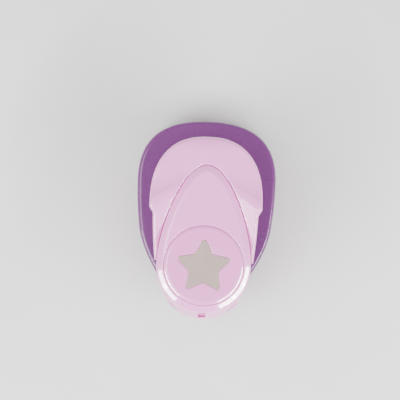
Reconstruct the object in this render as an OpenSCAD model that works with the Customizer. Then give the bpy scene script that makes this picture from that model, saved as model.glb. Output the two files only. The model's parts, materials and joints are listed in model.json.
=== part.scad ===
// Thumb-lever craft punch that cuts a five-point star out of paper.
// Millimetres, +Z up, +Y towards the rear (thumb) end, origin under the middle of the base.
// Sub-parts are laid out about the punch axis and moved to their place by on_axis().

/* [Base] */
// Height of the base, which is also the level of the die's cutting face
base_h = 10; // [9.5:0.5:11]
// Half width of the base at its widest
base_half_w = 22.1; // [21.5:0.1:23]
// Thickness of the base's side wall
base_wall = 1.9; // [1.6:0.1:2.2]
// Thickness of the bottom cover
cover_t = 1.6; // [1.2:0.1:2]
// Radius of the chip outlet under the die
chute_r = 10; // [9.6:0.1:10.2]

/* [Die set] */
// Distance from the star's centre to its tips
star_r = 8.4; // [7.6:0.1:8.5]
// Distance from the star's centre to its waists
star_waist = 4.7; // [4:0.1:5]
// Thickness of the die plate
die_t = 4; // [3.5:0.1:4.5]
// Height of the paper slot
slot_h = 1.4; // [1:0.1:1.6]
// Thickness of the guide block
guide_t = 6; // [5.5:0.1:6.2]
// Distance from the punch axis to the back of the paper slot
throat = 10.8; // [10.4:0.1:11.2]

/* [Ram and spring] */
// Thickness of the ram's round cap
cap_t = 2; // [1.6:0.1:2.4]
// Wire diameter of the return spring
wire_d = 0.9; // [0.7:0.1:0.9]
// Number of turns in the return spring
turns = 4; // [3:0.5:4]

/* [Hinge] */
// Diameter of the hinge pin
pin_d = 3; // [2.5:0.1:3]
// Distance of the hinge pin in front of the punch axis
hinge_reach = 13; // [12.8:0.1:13.1]
// Angle that the lever turns through when it is pressed
press_angle = 15; // [12:1:16]

/* [Lever] */
// Radius of the hood round the star badge
hood_r = 14.6; // [14.5:0.1:14.8]
// Distance from the punch axis to the hood's rear tip
hood_l = 31; // [30:0.5:32]
// Height of the hood's flat top
hood_top = 34.8; // [34.6:0.1:35.2]
// Half width of the thumb lever at its widest
lever_half_w = 17.4; // [17.2:0.1:18]
// Height of the shoulder at the thumb lever's outer edge
shoulder_z = 36; // [35.8:0.1:36.5]
// Height of the flat thumb rest
rest_z = 33.7; // [33.6:0.1:33.8]
// Wall thickness of the hood and the thumb lever
lever_wall = 1.8; // [1.6:0.1:2]
// Radius of the round badge
badge_r = 12.3; // [11.8:0.1:12.4]

/* [Hidden] */

purple = [0.46, 0.25, 0.53];
pink = [0.86, 0.74, 0.83];
silver = [0.72, 0.70, 0.69];
steel = [0.62, 0.63, 0.65];
zinc = [0.50, 0.51, 0.53];
$fn = 48;
eps = 0.01;
far = 80;

// The base's outline about the punch axis, as the right half's curves
punch_y = -13.85;
base_front = -15.65;
base_rear = 45.35;
curve_n = 10;
base_edge = 0.5;
base_edge_h = 0.6;
fit = 0.1;

// Levels, from the bottom up
die_z = base_h - die_t;
guide_z = base_h + slot_h;
guide_top = guide_z + guide_t;
washer_t = 0.6;
spring_z = guide_top + washer_t;
cap_z = spring_z + 8;
cap_top = cap_z + cap_t;
cap_edge = 0.8;
cap_r = 10;
ram_lift = 0.5;
skin_z = base_h - 1.8;

// Die set plan
guide_r = 11.8;
die_rear = 24;
die_half_w = 11.5;
guide_rear = 17;
guide_half_w = 8.6;
ram_play = 0.012;
die_play = 0.008;
die_bed = 1.4;
washer_r = 10.2;
washer_hole_r = 8.9;

// Screws and dowels: radius, head radius, head height, places
screw_r = 1.5;
screw_head_r = 2.8;
screw_head_h = 1.4;
screw_places = [[-5.6, 14.1], [5.6, 14.1]];
screw_top = guide_top - 1.2;
dowel_r = 1;
dowel_places = [[0, 12.6], [0, 15.6]];
dowel_top = guide_top - 2.2;
bed_screw_r = 1.25;
bed_head_r = 2.4;
bed_head_h = 1.4;
bed_screw_z = 3.2;
bed_screw_places = [[-7.5, 20.6], [7.5, 20.6]];
cross_w = 0.6;
cross_z = 0.8;
cover_screw_r = 1;
cover_head_r = 2.1;
cover_head_h = 1.1;
cover_screw_l = 6.4;
cover_boss_r = 2.6;
cover_screw_places = [[-13.5, 36], [13.5, 36], [-14.9, 6.8], [14.9, 6.8]];
ram_head_r = 2.7;
ram_head_h = 1.2;
ram_screw_l = 5.8;

// Hinge
hinge_z = guide_top + 2.8;
boss_r = 2.6;
boss_half_w = 4;
cheek_x = boss_half_w + 0.2;
pin_half_l = 9;
pin_play = 0.04;
lip_top = 14.6;
lip_t = 1.4;
lip_half_w = 1;
lip_v = -16.9;
notch_half_w = 1.4;
notch_v = -14;
rest_gap = 0.05;
boss_play = 0.3;
boss_foot = 0.2;
cheek_t = 5;
cheek_v = [-16, -11];

// Lever's lower edge: level when the lever is pressed, so inclined by the press angle at rest
edge_z = 13;
edge_v = -15;

// Chin that covers the hinge
chin_r = 14;
chin_v = -3.65;
chin_top_r = 10.6;
chin_z = [20, 27.5];
chin_wall = 1.5;
window_half_w = 1.15;
window_v = [-16.5, -14.55];
window_low_z = 21;
window_depth = 0.7;
web_half_w = 2.4;
web_v = -13.6;
web_top = 27;

// Hood and thumb lever
hood_pull = 10.5;
hood_blunt = 7.6;
bevel = 2.2;
bevel_h = 1.1;
ceiling_z = 31.9;
lever_v = 19;
lever_b = 20.75;
lever_power = 2.4;
tip_v = 1;
tip_pull = 2.1;
shoulder_step = 1.1;
step_v = 2.6;
lever_n = 18;
shoulder = [lever_half_w, 18.2, shoulder_z];
shoulder_in = [6.5, 25.2, 34.5];
wing_tip = [15.3, tip_v, 30.5];
scoop_foot = [lever_half_w, lever_v + 4.5, rest_z];
rest_edge = [[36.5, 0], [38.6, 0.4], [40, 1.2]];
skin_t = 1.8;
wing_skin = 2.6;
hood_sink = 3;

// Plate, pad and badge
plate_t = 1.2;
plate_half_w = 5;
plate_v = [-4, 35];
plate_room_v = 10;
pad_r = 2.3;
pad_v = -1.5;
pad_half_w = 4.5;
plate_screw_r = 0.9;
plate_screw_l = 1.1;
plate_head_h = 1;
plate_screw_places = [[0, 14], [0, 22], [-3, 33], [3, 33]];
badge_t = 1.2;
badge_bevel = 0.9;
badge_top = hood_top + 0.45;
inlay_t = 0.5;
inlay_v = -0.35;

// A cubic Bezier curve from a to d, without its last point
function bezier(a, b, c, d) =
    [for (i = [0:curve_n - 1])
        let (t = i / curve_n, s = 1 - t)
            s * s * s * a + 3 * s * s * t * b + 3 * s * t * t * c + t * t * t * d];

// Right half of the base's outline, from the rear middle to the front middle
function base_half(w) = concat(
    bezier([0, base_rear], [w * 0.61, base_rear], [w, base_rear - 5], [w, 26.3]),
    bezier([w, 26.3], [w, 20.8], [w - 0.5, 14.8], [w - 1.1, 10.7]),
    bezier([w - 1.1, 10.7], [w - 1.7, 6.9], [w - 3.5, 2.6], [w - 5.7, -1.1]),
    bezier([w - 5.7, -1.1], [w - 9, -6.7], [w - 13.6, base_front], [0, base_front]),
    [[0, base_front]]);

// A half outline with its mirror image, as one closed outline
function both_halves(half) =
    concat(half, [for (i = [len(half) - 2:-1:1]) [-half[i][0], half[i][1]]]);

// An outline moved by t along its normals: inwards if it runs clockwise, outwards if not
function inset(pts, t) =
    let (n = len(pts))
        [for (i = [0:n - 1])
            let (d = pts[(i + 1) % n] - pts[(i + n - 1) % n])
                pts[i] + t * [-d[1], d[0]] / norm(d) * -1];

base_outline = both_halves(base_half(base_half_w));

// Points of a star with its tip towards +Y
function star_points(k) =
    [for (i = [0:9])
        let (r = k * (i % 2 == 0 ? star_r : star_waist), a = 90 + 36 * i)
            [r * cos(a), r * sin(a)]];

// Quarter of a superellipse from its side to its tip
function super_quarter(a, b, p, n) =
    [for (i = [0:n])
        let (t = 90 * i / n)
            [a * pow(cos(t), 2 / p), b * pow(sin(t), 2 / p)]];

// Hood's outline: a half circle in front and a long, blunt tip behind
hood_outline = both_halves(concat(
    [for (i = [0:11]) let (t = -90 + 90 * i / 12) hood_r * [cos(t), sin(t)]],
    bezier([hood_r, 0], [hood_r, hood_pull], [hood_blunt, hood_l], [0, hood_l]),
    [[0, hood_l]]));

// How far the lever's side lies inside its shoulder at v
function side_in(v) =
    let (k = min(1, max(0, (lever_v - 1 - v) / step_v)))
        shoulder_step * k * k * (3 - 2 * k)
            + (tip_pull - shoulder_step) * pow((lever_v - v) / (lever_v - tip_v), 2);

// Thumb lever's outline, drawn in by t at its sides and rear
function lever_half(t, front) = concat(
    [[0, front]],
    [for (i = [0:lever_n - 1])
        let (v = front + (lever_v - front) * i / lever_n)
            [lever_half_w - t - side_in(v), v]],
    [for (p = super_quarter(lever_half_w - t, lever_b - t, lever_power, 20)) p + [0, lever_v]]);

module on_axis() {
    translate([0, punch_y, 0]) children();
}

module at(places) {
    for (p = places) translate([p[0], p[1], 0]) children();
}

// Plan of the die plate: round under the hood, straight behind it
module die_plan(grow = 0) {
    circle(r = guide_r + grow);
    translate([-die_half_w - grow, -2])
        square([2 * (die_half_w + grow), die_rear + 2 + grow]);
}

module guide_plan() {
    circle(r = guide_r);
    translate([-guide_half_w, -2]) square([2 * guide_half_w, guide_rear + 2]);
}

module hood_plan(grow = 0) {
    polygon(inset(hood_outline, grow));
}

module lever_plan(t = 0, front = tip_v) {
    polygon(both_halves(lever_half(t, front)));
}

// Everything below the lever's lower edge
module below_edge() {
    translate([0, edge_v, edge_z]) rotate([press_angle, 0, 0])
        translate([-far / 2, -far / 2, -far]) cube([far, 2 * far, far]);
}

// Normals of the right wing's plane and the scoop's plane, which meet in the shoulder line
function upward(n) = n[2] > 0 ? n : -n;
wing_n = upward(cross(shoulder - wing_tip, shoulder - shoulder_in));
scoop_n = upward(cross(shoulder - scoop_foot, shoulder - shoulder_in));

// Half space above (side = 0) or below (side = -1) the plane through p with normal n
module half_space(p, n, side) {
    translate(p) rotate([0, atan2(norm([n[0], n[1]]), n[2]), atan2(n[1], n[0])])
        translate([-far, -far, side * far]) cube([2 * far, 2 * far, far]);
}

module wing_space(side, drop = 0) {
    half_space(wing_tip - [0, 0, drop], wing_n, side);
}

module above_wings(drop = 0) {
    intersection() {
        wing_space(0, drop);
        mirror([1, 0, 0]) wing_space(0, drop);
    }
}

module below_wings(drop = 0) {
    wing_space(-1, drop);
    mirror([1, 0, 0]) wing_space(-1, drop);
}

// Everything under the flat thumb rest and its falling rear edge
module under_rest(drop) {
    rotate([90, 0, 90]) translate([0, -drop, -far / 2]) linear_extrude(far)
        polygon(concat([[-2, 0], [-2, rest_z]],
                       [for (p = rest_edge) [p[0], rest_z - p[1]]],
                       [[rest_edge[2][0], 0]]));
}

// Everything under the slope that rises from the thumb rest to the right shoulder
module under_scoop(drop) {
    intersection() {
        half_space(shoulder - [0, 0, drop], scoop_n, -1);
        translate([0, -2, 0]) cube([far, far, far]);
    }
}

module lever_solid(t = 0, drop = 0, front = tip_v) {
    difference() {
        intersection() {
            linear_extrude(far) lever_plan(t, front);
            union() {
                under_rest(drop);
                under_scoop(drop);
                mirror([1, 0, 0]) under_scoop(drop);
            }
        }
        above_wings(drop > 0 ? wing_skin : 0);
    }
}

module countersunk(r, head_r, head_h, l) {
    cylinder(r1 = head_r, r2 = r, h = head_h);
    cylinder(r = r, h = l);
}

module base_shell() {
    color(purple) on_axis() difference() {
        union() {
            difference() {
                union() {
                    linear_extrude(base_h - base_edge_h) polygon(base_outline);
                    linear_extrude(base_h) polygon(inset(base_outline, base_edge));
                }
                translate([0, 0, -eps]) linear_extrude(skin_z + eps)
                    polygon(inset(base_outline, base_wall));
            }
            translate([0, 0, cover_t + fit]) linear_extrude(base_h - cover_t - fit)
                die_plan(die_bed);
            at(cover_screw_places) translate([0, 0, cover_t + fit])
                cylinder(r = cover_boss_r, h = skin_z - cover_t);
        }
        translate([0, 0, die_z]) linear_extrude(far) die_plan(fit);
        cylinder(r = chute_r, h = far);
        at(cover_screw_places) cylinder(r = cover_screw_r, h = cover_screw_l + 2 * fit);
        at(bed_screw_places) translate([0, 0, bed_screw_z - 2 * fit])
            cylinder(r = bed_screw_r, h = far);
    }
}

module base_cover() {
    color(purple) on_axis() difference() {
        linear_extrude(cover_t) polygon(inset(base_outline, base_wall + fit));
        translate([0, 0, -eps]) cylinder(r = chute_r, h = far);
        at(cover_screw_places) countersunk(cover_screw_r, cover_head_r, cover_head_h, far);
    }
}

module cover_screws() {
    color(steel) on_axis() at(cover_screw_places)
        countersunk(cover_screw_r, cover_head_r, cover_head_h, cover_screw_l);
}

module die_plate() {
    color(steel) on_axis() difference() {
        translate([0, 0, die_z]) linear_extrude(die_t) die_plan();
        linear_extrude(far) polygon(star_points(1 + ram_play + die_play));
        translate([0, 0, die_z - eps]) cylinder(r = star_r + 1, h = die_t / 2);
        at(screw_places) translate([0, 0, die_z])
            countersunk(screw_r, screw_head_r, screw_head_h, far);
        at(dowel_places) cylinder(r = dowel_r, h = far);
        at(bed_screw_places) cylinder(r = bed_screw_r + fit, h = far);
    }
}

module throat_spacer() {
    color(steel) on_axis() difference() {
        translate([-guide_half_w, throat, base_h])
            cube([2 * guide_half_w, guide_rear - throat, slot_h]);
        at(screw_places) cylinder(r = screw_r, h = far);
        at(dowel_places) cylinder(r = dowel_r, h = far);
    }
}

module guide_block() {
    color(zinc) on_axis() difference() {
        union() {
            translate([0, 0, guide_z]) linear_extrude(guide_t) guide_plan();
            translate([-boss_half_w, -hinge_reach, hinge_z]) rotate([0, 90, 0])
                cylinder(r = boss_r, h = 2 * boss_half_w);
            translate([-boss_half_w, -hinge_reach - boss_r + boss_foot, guide_z])
                cube([2 * boss_half_w, 2 * boss_r - boss_foot, hinge_z - guide_z]);
            translate([-lip_half_w, lip_v, lip_top - lip_t])
                cube([2 * lip_half_w, -hinge_reach - lip_v, lip_t]);
        }
        linear_extrude(far) polygon(star_points(1 + ram_play));
        translate([-far / 2, -hinge_reach, hinge_z]) rotate([0, 90, 0])
            cylinder(d = pin_d, h = far);
        at(screw_places) cylinder(r = screw_r, h = screw_top + 2 * fit);
        at(dowel_places) cylinder(r = dowel_r, h = dowel_top + 2 * fit);
    }
}

module die_screws() {
    color(steel) on_axis() at(screw_places) translate([0, 0, die_z])
        countersunk(screw_r, screw_head_r, screw_head_h, screw_top - die_z);
}

module dowel_pins() {
    color(steel) on_axis() at(dowel_places) translate([0, 0, die_z + 2 * fit])
        cylinder(r = dowel_r, h = dowel_top - 2 * fit - die_z);
}

module bed_screws() {
    color(steel) on_axis() at(bed_screw_places) {
        translate([0, 0, bed_screw_z])
            cylinder(r = bed_screw_r, h = base_h - bed_screw_z + 2 * fit);
        translate([0, 0, base_h]) difference() {
            cylinder(r1 = bed_head_r, r2 = bed_head_r - 4 * fit, h = bed_head_h);
            translate([-cross_w / 2, -far / 2, cross_z]) cube([cross_w, far, far]);
            translate([-far / 2, -cross_w / 2, cross_z]) cube([far, cross_w, far]);
        }
    }
}

module hinge_pin() {
    color(steel) on_axis() translate([-pin_half_l, -hinge_reach, hinge_z]) rotate([0, 90, 0])
        cylinder(d = pin_d, h = 2 * pin_half_l);
}

module spring_washer() {
    color(steel) on_axis() translate([0, 0, guide_top]) difference() {
        cylinder(r = washer_r, h = washer_t);
        translate([0, 0, -eps]) cylinder(r = washer_hole_r, h = far);
    }
}

// Return spring: a swept helix whose end turns lie flat
module return_spring() {
    sides = 8;
    steps = 20 * turns;
    coil_r = 9.4;
    span = cap_z - spring_z - wire_d;
    flat = 0.6;
    function lift(u) =
        let (w = (u * turns - flat) / (turns - 2 * flat), k = max(0, min(1, w)))
            k * (span - 2 * flat * wire_d) + wire_d * min(u * turns, flat)
            + wire_d * max(0, u * turns - turns + flat);
    points = [for (i = [0:steps])
        let (u = i / steps, a = 360 * turns * u)
            for (j = [0:sides - 1])
                let (b = 360 * j / sides, r = coil_r + wire_d / 2 * cos(b))
                    [r * cos(a), r * sin(a), spring_z + wire_d / 2 + lift(u) + wire_d / 2 * sin(b)]];
    faces = concat(
        [[for (j = [sides - 1:-1:0]) j]],
        [for (i = [0:steps - 1])
            for (j = [0:sides - 1])
                let (k = (j + 1) % sides)
                    [i * sides + j, i * sides + k, (i + 1) * sides + k, (i + 1) * sides + j]],
        [[for (j = [0:sides - 1]) steps * sides + j]]);
    color(steel) on_axis() polyhedron(points, faces);
}

module punch_ram() {
    color(steel) on_axis() difference() {
        translate([0, 0, guide_z + ram_lift]) linear_extrude(cap_z - guide_z - ram_lift)
            polygon(star_points(1));
        translate([0, 0, cap_z - ram_screw_l - 2 * fit]) cylinder(r = screw_r, h = far);
    }
}

module ram_cap() {
    color(steel) on_axis() difference() {
        union() {
            translate([0, 0, cap_z]) cylinder(r = cap_r, h = cap_t - cap_edge);
            translate([0, 0, cap_top - cap_edge])
                cylinder(r1 = cap_r, r2 = cap_r - cap_edge, h = cap_edge);
        }
        cylinder(r = screw_r, h = far);
        translate([0, 0, cap_top - fit - ram_head_h])
            cylinder(r1 = screw_r, r2 = ram_head_r + 3 * fit, h = ram_head_h + 3 * fit);
    }
}

module ram_screw() {
    color(steel) on_axis() {
        translate([0, 0, cap_z - ram_screw_l])
            cylinder(r = screw_r, h = ram_screw_l + cap_t - fit - ram_head_h + eps);
        translate([0, 0, cap_top - fit - ram_head_h])
            cylinder(r1 = screw_r, r2 = ram_head_r, h = ram_head_h);
    }
}

// Chin that covers the hinge: round and upright, then leaning back
module chin_form(t = 0) {
    translate([0, chin_v, 0]) {
        translate([0, 0, -eps]) cylinder(r = chin_r - t, h = chin_z[0] + eps);
        translate([0, 0, chin_z[0] - eps])
            cylinder(r1 = chin_r - t, r2 = chin_top_r - t, h = chin_z[1] - chin_z[0]);
    }
}

// Outer form of the hood, with a bevelled top
module hood_form() {
    hull() {
        linear_extrude(hood_top - bevel_h) hood_plan();
        translate([0, 0, hood_top - eps]) linear_extrude(eps) hood_plan(-bevel);
    }
    chin_form();
}

// Hollow of the hood and its chin
module hood_hollow() {
    translate([0, 0, -eps]) linear_extrude(ceiling_z + eps) hood_plan(-lever_wall);
    chin_form(chin_wall);
}

// Shallow pocket in the leaning top of the chin
module window() {
    difference() {
        translate([-window_half_w, window_v[0], window_low_z])
            cube([2 * window_half_w, window_v[1] - window_v[0], hood_top - window_low_z]);
        chin_form(window_depth);
    }
}

// Web under the window, over the hinge boss
module window_web() {
    translate([-web_half_w, chin_v - chin_r, hinge_z])
        cube([2 * web_half_w, web_v - chin_v + chin_r, web_top - hinge_z]);
}

// Room for the hinge boss, at every angle of the lever
module boss_room() {
    translate([-cheek_x, -hinge_reach, hinge_z]) rotate([0, 90, 0])
        cylinder(r = boss_r + boss_play, h = 2 * cheek_x);
    translate([-cheek_x, -hinge_reach - boss_r - boss_play, 0])
        cube([2 * cheek_x, 2 * boss_r, hinge_z]);
}

// Room inside the thumb lever, where the hood has no skirt
module skirt_relief() {
    intersection() {
        below_wings(hood_sink);
        translate([-far, tip_v + 1, -far]) cube([2 * far, 2 * far, 2 * far]);
    }
}

// Room for the stiffener plate
module plate_room() {
    translate([-plate_half_w - fit, plate_room_v, -eps])
        cube([2 * (plate_half_w + fit), plate_v[1] + fit - plate_room_v, ceiling_z + eps]);
}

// Cheeks on both sides of the hinge boss, which turn on the pin
module hinge_cheeks() {
    for (s = [-1, 1]) {
        translate([s * (cheek_x + cheek_t / 2), -hinge_reach, hinge_z]) rotate([0, 90, 0])
            cylinder(r = boss_r + fit, h = cheek_t, center = true);
        translate([s * (cheek_x + cheek_t / 2) - cheek_t / 2, cheek_v[0], hinge_z])
            cube([cheek_t, cheek_v[1] - cheek_v[0], ceiling_z - hinge_z + fit]);
    }
}

module front_hood() {
    color(pink) on_axis() difference() {
        union() {
            difference() {
                hood_form();
                hood_hollow();
            }
            intersection() {
                hood_form();
                union() {
                    hinge_cheeks();
                    window_web();
                }
            }
        }
        below_edge();
        skirt_relief();
        boss_room();
        plate_room();
        translate([-far / 2, -hinge_reach, hinge_z]) rotate([0, 90, 0])
            cylinder(r = pin_d / 2 + pin_play, h = far);
        translate([-notch_half_w, -far, 0])
            cube([2 * notch_half_w, far + notch_v, lip_top + rest_gap]);
        window();
        translate([0, 0, hood_top - badge_t]) cylinder(r = badge_r + fit / 2, h = far);
        at(plate_screw_places) cylinder(r = plate_screw_r, h = ceiling_z + plate_screw_l + 3 * fit);
    }
}

module thumb_lever() {
    color(pink) on_axis() difference() {
        lever_solid();
        lever_solid(lever_wall, skin_t, 5);
        below_edge();
        linear_extrude(far) hood_plan(fit);
        plate_room();
        at(plate_screw_places) cylinder(r = plate_screw_r, h = ceiling_z + plate_screw_l + fit);
    }
}

module stiffener_plate() {
    color(steel) on_axis() difference() {
        translate([-plate_half_w, plate_v[0], ceiling_z - plate_t])
            cube([2 * plate_half_w, plate_v[1] - plate_v[0], plate_t]);
        at(plate_screw_places) cylinder(r = plate_screw_r, h = far);
    }
}

module stiffener_screws() {
    color(steel) on_axis() at(plate_screw_places) {
        translate([0, 0, ceiling_z - plate_t])
            cylinder(r = plate_screw_r, h = plate_t + plate_screw_l);
        translate([0, 0, ceiling_z - plate_t - plate_head_h])
            cylinder(r1 = plate_screw_r + 0.5, r2 = plate_screw_r + 0.8, h = plate_head_h);
    }
}

module press_pad() {
    pad_z = cap_top + rest_gap + pad_r;
    color(steel) on_axis() intersection() {
        translate([-pad_half_w, pad_v, pad_z]) rotate([0, 90, 0])
            cylinder(r = pad_r, h = 2 * pad_half_w);
        translate([-far / 2, -far / 2, 0]) cube([far, far, ceiling_z - plate_t]);
    }
}

module badge_disc() {
    color(pink) on_axis() difference() {
        union() {
            translate([0, 0, hood_top - badge_t]) cylinder(r = badge_r, h = badge_t, $fn = 96);
            translate([0, 0, hood_top - eps])
                cylinder(r1 = badge_r, r2 = badge_r - badge_bevel, h = badge_top - hood_top + eps,
                         $fn = 96);
        }
        translate([0, inlay_v, badge_top - inlay_t]) linear_extrude(far)
            polygon(star_points(1.01));
    }
}

module star_inlay() {
    color(silver) on_axis() translate([0, inlay_v, badge_top - inlay_t])
        linear_extrude(inlay_t) polygon(star_points(1));
}

base_shell();
base_cover();
cover_screws();
die_plate();
throat_spacer();
guide_block();
die_screws();
dowel_pins();
bed_screws();
hinge_pin();
spring_washer();
return_spring();
punch_ram();
ram_cap();
ram_screw();
front_hood();
thumb_lever();
stiffener_plate();
stiffener_screws();
press_pad();
badge_disc();
star_inlay();
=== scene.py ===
"""Looks of a thumb-lever craft punch: moulded plastic, ground and cast metal, pale floor, soft light.

The plastic and metal pieces are solids given as signed distances in millimetres, about the punch
axis: x across, v towards the rear, z up. surface_net() turns each into a closed mesh with fillets.
"""
import json
import math

import bpy
import numpy as np
from mathutils import Matrix, Vector

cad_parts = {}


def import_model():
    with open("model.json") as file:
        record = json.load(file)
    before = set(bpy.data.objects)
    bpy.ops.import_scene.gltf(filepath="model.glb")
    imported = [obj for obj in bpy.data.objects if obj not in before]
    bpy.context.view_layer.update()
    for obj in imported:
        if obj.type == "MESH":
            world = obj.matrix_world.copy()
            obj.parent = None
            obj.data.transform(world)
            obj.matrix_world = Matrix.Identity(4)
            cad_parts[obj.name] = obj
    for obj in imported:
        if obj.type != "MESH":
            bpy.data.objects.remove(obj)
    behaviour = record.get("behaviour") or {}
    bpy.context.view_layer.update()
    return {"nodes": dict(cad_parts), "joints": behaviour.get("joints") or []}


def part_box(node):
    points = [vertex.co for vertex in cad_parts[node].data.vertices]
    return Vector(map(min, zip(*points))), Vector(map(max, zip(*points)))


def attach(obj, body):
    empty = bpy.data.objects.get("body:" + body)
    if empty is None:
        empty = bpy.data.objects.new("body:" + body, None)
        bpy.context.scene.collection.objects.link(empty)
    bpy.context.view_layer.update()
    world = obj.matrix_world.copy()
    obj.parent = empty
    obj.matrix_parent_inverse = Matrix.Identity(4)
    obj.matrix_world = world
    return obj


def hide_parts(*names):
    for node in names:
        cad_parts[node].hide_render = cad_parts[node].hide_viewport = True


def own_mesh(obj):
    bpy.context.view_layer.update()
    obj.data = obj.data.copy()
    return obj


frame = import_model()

MM = 0.001


# ---------------------------------------------------------------- places, from the frame

def low(node):
    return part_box(node)[0] / MM


def high(node):
    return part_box(node)[1] / MM


def joint(name):
    return next(j for j in frame["joints"] if j["name"] == name)


AXIS_Y = (low("badge_disc").y + high("badge_disc").y) / 2
HINGE = joint("lever_hinge")
HINGE_V = HINGE["pos_m"][1] / MM - AXIS_Y
HINGE_Z = HINGE["pos_m"][2] / MM
PRESS = math.radians(HINGE["range_deg"][1])

BASE_W = high("base_shell").x
BASE_FRONT = low("base_shell").y - AXIS_Y
BASE_REAR = high("base_shell").y - AXIS_Y
BASE_TOP = high("base_shell").z
COVER_TOP = high("base_cover").z

DIE_LOW = low("die_plate").z
DIE_W = high("die_plate").x
DIE_R = AXIS_Y - low("die_plate").y
DIE_REAR = high("die_plate").y - AXIS_Y
GUIDE_LOW = low("guide_block").z
GUIDE_TOP = low("spring_washer").z
GUIDE_R = high("guide_block").x
GUIDE_REAR = high("guide_block").y - AXIS_Y
GUIDE_W = high("throat_spacer").x
LIP_FRONT = low("guide_block").y - AXIS_Y
SPRING_LOW = low("return_spring").z
SPRING_TOP = high("return_spring").z
CAP_TOP = high("ram_cap").z
CAP_R = high("ram_cap").x

BADGE_TOP = high("badge_disc").z
HOOD_TOP = high("front_hood").z
HOOD_R = high("front_hood").x
HOOD_L = high("front_hood").y - AXIS_Y
CHIN_FRONT = low("front_hood").y - AXIS_Y
CEILING = high("stiffener_plate").z
BADGE_R = high("badge_disc").x
BADGE_LOW = low("badge_disc").z
INLAY_LOW = low("star_inlay").z
INLAY_V = high("star_inlay").y - high("punch_ram").y
LEVER_W = high("thumb_lever").x
LEVER_REAR = high("thumb_lever").y - AXIS_Y
SHOULDER_Z = high("thumb_lever").z
PIN_R = high("hinge_pin").z - HINGE_Z
PIN_HALF_L = high("hinge_pin").x

# ---- sizes inside the pieces, in mm, which the frame's boxes don't give

# Base: wall, chip chute, bed round the die, and posts for the cover's screws with pilot holes
BASE_WALL, BASE_ROOF = 1.9, 1.8
CHUTE_R = 10.0
BED_WIDER, BED_FIT = 1.4, 0.12
POST_R, PILOT_R, PILOT_TOP = 2.6, 1.0, 6.6
SCREWS_COVER = [(-13.5, 36), (13.5, 36), (-14.9, 6.8), (14.9, 6.8)]

# Die set: star, round relief in the die's underside, screws, the hinge pin's boss, and the stop lip
STAR_R, STAR_WAIST, STAR_TIP_R = 9.15, 4.8, 0.75
RELIEF_R, RELIEF_H = STAR_R + 0.8, 2.0
SCREWS_BED = [(-7.5, 20.6), (7.5, 20.6)]
BOSS_R, BOSS_HALF_W = 2.6, 4.0
LIP_LOW, LIP_TOP, LIP_L, LIP_HALF_W = 13.2, 14.6, 4.0, 1.0

# Hood: walls, bevelled top, lower edge's front end, and chin with its knee and backward lean
WALL, CHIN_WALL = 1.8, 1.5
BEVEL, BEVEL_SLOPE = 2.2, math.radians(26.5)
EDGE_V, EDGE_Z = -15.0, 13.0
CHIN_R, CHIN_KNEE, CHIN_LEAN, CHIN_TOP = 14.0, 20.0, 0.453, 27.5

# Inside the hood: cheeks on the pin, web behind the chin, room for boss, stop lip and steel plate
CHEEK_IN, CHEEK_OUT, CHEEK_R = 4.2, 9.2, 2.7
CHEEK_V = (-16.0, -11.0)
WEB_HALF_W, WEB_REAR, WEB_TOP = 2.4, -13.6, 27.0
BOSS_ROOM_R, BOSS_ROOM_V = 2.9, (-15.9, -10.7)
NOTCH_HALF_W, NOTCH_V, NOTCH_TOP = 1.4, (-20.0, -14.0), 14.65
WINDOW_HALF_W, WINDOW_V, WINDOW_LOW, WINDOW_DEPTH = 1.15, (-16.5, -14.55), 21.0, 0.7
PLATE_HALF_W, PLATE_V = 5.15, (10.0, 35.2)
SCREWS_PLATE = [(0, 14), (0, 22), (-3, 33), (3, 33)]

# Lever: thumb rest, the shoulders' outer and inner ends, the slopes' feet in front and behind
REST_Z, REST_FALL_V = 33.7, 35.0
SHOULDER = np.array([LEVER_W, 18.2, SHOULDER_Z])
SHOULDER_IN = np.array([6.5, 25.2, 34.5])
WING_TIP = np.array([15.3, 1.0, 30.5])
SCOOP_FOOT = np.array([LEVER_W, 23.5, REST_Z])
WING_T = 2.6


# ---------------------------------------------------------------- outlines in plan

def bezier(a, b, c, d, n=24):
    """Points of a cubic curve, without its last one."""
    t = np.arange(n)[:, None] / n
    a, b, c, d = (np.array(p, float) for p in (a, b, c, d))
    return (1 - t) ** 3 * a + 3 * (1 - t) ** 2 * t * b + 3 * (1 - t) * t ** 2 * c + t ** 3 * d


def mirrored(half):
    """A closed outline from its right half."""
    other = half[::-1] * [-1, 1]
    return np.vstack([half, other])


def base_outline():
    w, rear, front = BASE_W, BASE_REAR, BASE_FRONT
    return mirrored(np.vstack([
        bezier((0, rear), (w * 0.61, rear), (w, rear - 5), (w, 26.3)),
        bezier((w, 26.3), (w, 20.8), (w - 0.5, 14.8), (w - 1.1, 10.7)),
        bezier((w - 1.1, 10.7), (w - 1.7, 6.9), (w - 3.5, 2.6), (w - 5.7, -1.1)),
        bezier((w - 5.7, -1.1), (w - 9, -6.7), (w - 13.6, front), (0, front))]))


def super_quarter(a, b, power, n=60):
    """A quarter of a superellipse, from its side to its tip."""
    t = np.linspace(0, math.pi / 2, n)
    return np.stack([a * np.cos(t) ** (2 / power), b * np.sin(t) ** (2 / power)], 1)


def hood_outline():
    t = np.linspace(-math.pi / 2, 0, 60, endpoint=False)[1:]
    front = HOOD_R * np.stack([np.cos(t), np.sin(t)], 1)
    rear = bezier((HOOD_R, 0), (HOOD_R, 10.5), (7.6, HOOD_L), (0, HOOD_L), 80)
    return mirrored(np.vstack([front, rear]))


def lever_outline(middle=19.0, tip=1.0, pull=2.1, step=1.1):
    v = np.linspace(tip, middle, 60, endpoint=False)
    k = np.clip((middle - 1 - v) / 2.6, 0, 1)
    inwards = step * k * k * (3 - 2 * k) + (pull - step) * ((middle - v) / (middle - tip)) ** 2
    side = np.stack([LEVER_W - inwards, v], 1)
    rear = super_quarter(LEVER_W, LEVER_REAR - middle, 2.4) + [0, middle]
    return mirrored(np.vstack([side, rear]))


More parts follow.
